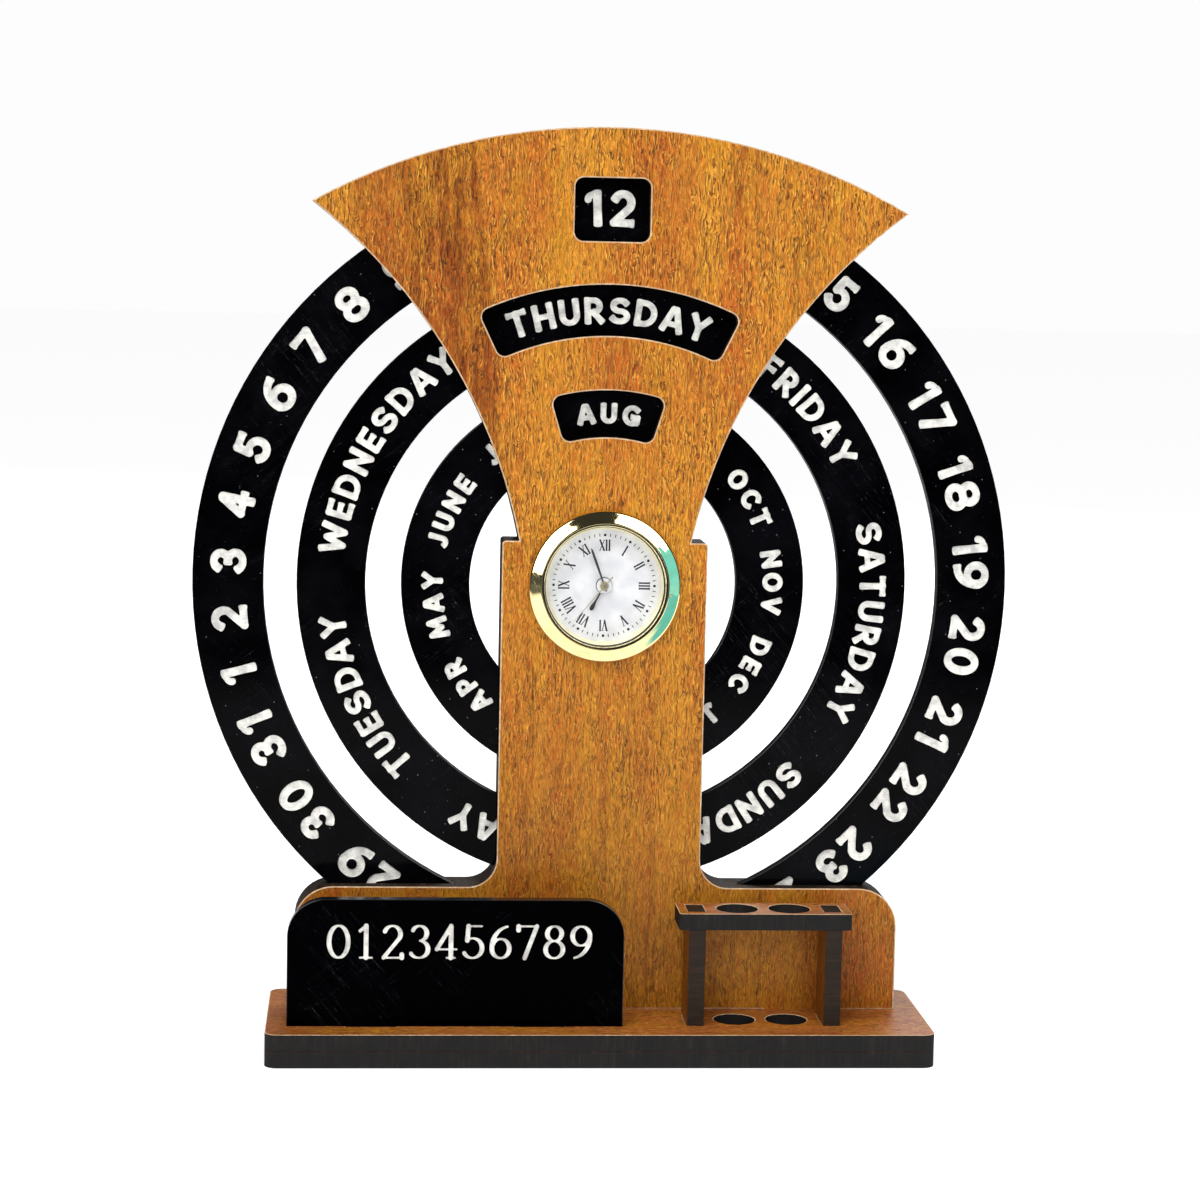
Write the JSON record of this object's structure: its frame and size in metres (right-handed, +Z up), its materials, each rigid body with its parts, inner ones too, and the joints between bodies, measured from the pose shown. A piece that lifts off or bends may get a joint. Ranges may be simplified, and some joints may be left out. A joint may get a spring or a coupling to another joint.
{
  "type": "desk calendar clock",
  "caption": "Desk clock on a fan-topped stand with turning date, weekday and month rings, a push-in quartz clock, a card slot and a pencil rack.",
  "frame": {"origin": "under the middle of the base, on the surface that the stand rests on", "axes": "+X to the right seen from the front, +Y to the back, +Z up; the dial and the windows face -Y"},
  "size_m": [0.1964, 0.044, 0.22],
  "materials": {
    "wood_veneer": "orange-brown varnished veneer on board, edges charred by the laser",
    "black_acrylic": "glossy black acrylic with frosted engraving",
    "gold_bezel": "polished gold plating",
    "lens_glass": "clear flat lens",
    "dial_white": "printed silvery white card",
    "ring_dark": "dark inner ring",
    "hand_black": "black lacquered sheet",
    "hand_gold": "thin gilt sheet",
    "black_plastic": "moulded, finely textured",
    "seal_rubber": "ribbed rubber band",
    "gear_brass": "cut and turned brass",
    "gear_nylon": "moulded white nylon",
    "arbor_steel": "ground steel",
    "cell_steel": "nickel-plated can",
    "board_green": "printed circuit board and sealed drive unit"
  },
  "bodies": {
    "stand": {"base_lower": "wood_veneer", "base_upper": "wood_veneer", "front_panel": "wood_veneer", "back_panel": "wood_veneer", "hub_spacer": "wood_veneer", "inner_track_upper": "wood_veneer", "inner_track_lower": "wood_veneer", "outer_track_upper": "wood_veneer", "outer_track_lower": "wood_veneer", "rim_spacer": "wood_veneer", "foot_spacer": "wood_veneer", "card_plate": "black_acrylic", "rack_top": "wood_veneer", "rack_leg_left": "wood_veneer", "rack_leg_right": "wood_veneer"},
    "date_wheel": {"date_ring": "black_acrylic"},
    "day_wheel": {"day_ring": "black_acrylic"},
    "month_wheel": {"month_ring": "black_acrylic"},
    "clock_insert": {"clock_bezel": "gold_bezel", "clock_lens": "lens_glass", "dial_ring": "ring_dark", "clock_dial": "dial_white", "clock_case": "black_plastic", "clock_gasket": "seal_rubber", "movement_plate": "black_plastic", "movement_bridge": "black_plastic", "drive_module": "board_green", "circuit_board": "board_green", "button_cell": "cell_steel", "battery_contacts": "gear_brass"},
    "minute_work": {"minute_hand": "hand_black", "minute_arbor": "gear_brass"},
    "hour_work": {"hour_hand": "hand_black", "hour_wheel": "gear_nylon"},
    "second_work": {"second_hand": "hand_gold", "second_arbor": "arbor_steel"},
    "setting_work": {"setting_wheel": "gear_brass", "setting_knob": "black_plastic"},
    "battery_hatch": {"battery_cover": "black_plastic"}
  },
  "joints": [
    {"name": "date_turn", "type": "hinge", "parent": "stand", "child": "date_wheel", "pos_m": [0, 0.0085, 0.1114], "axis": [0, 1, 0], "continuous": true},
    {"name": "day_turn", "type": "hinge", "parent": "stand", "child": "day_wheel", "pos_m": [0, 0.0085, 0.1114], "axis": [0, 1, 0], "continuous": true},
    {"name": "month_turn", "type": "hinge", "parent": "stand", "child": "month_wheel", "pos_m": [0, 0.0085, 0.1114], "axis": [0, 1, 0], "continuous": true},
    {"name": "insert_slide", "type": "slide", "parent": "stand", "child": "clock_insert", "axis": [0, -1, 0], "range_m": [0, 0.012]},
    {"name": "minute_turn", "type": "hinge", "parent": "clock_insert", "child": "minute_work", "pos_m": [0, 0.005, 0.1114], "axis": [0, 1, 0], "continuous": true},
    {"name": "hour_turn", "type": "hinge", "parent": "clock_insert", "child": "hour_work", "pos_m": [0, 0.005, 0.1114], "axis": [0, 1, 0], "continuous": true},
    {"name": "second_turn", "type": "hinge", "parent": "clock_insert", "child": "second_work", "pos_m": [0, 0.005, 0.1114], "axis": [0, 1, 0], "continuous": true},
    {"name": "setting_turn", "type": "hinge", "parent": "clock_insert", "child": "setting_work", "pos_m": [-0.005, 0.008, 0.1114], "axis": [0, 1, 0], "continuous": true},
    {"name": "hatch_turn", "type": "hinge", "parent": "clock_insert", "child": "battery_hatch", "pos_m": [0.0079, 0.013, 0.1114], "axis": [0, 1, 0], "range_deg": [0, 40]}
  ],
  "couplings": [
    {"joint": "hour_turn", "follows": "minute_turn", "ratio": 0.083333},
    {"joint": "second_turn", "follows": "minute_turn", "ratio": 60},
    {"joint": "setting_turn", "follows": "minute_turn", "ratio": -0.33333}
  ]
}
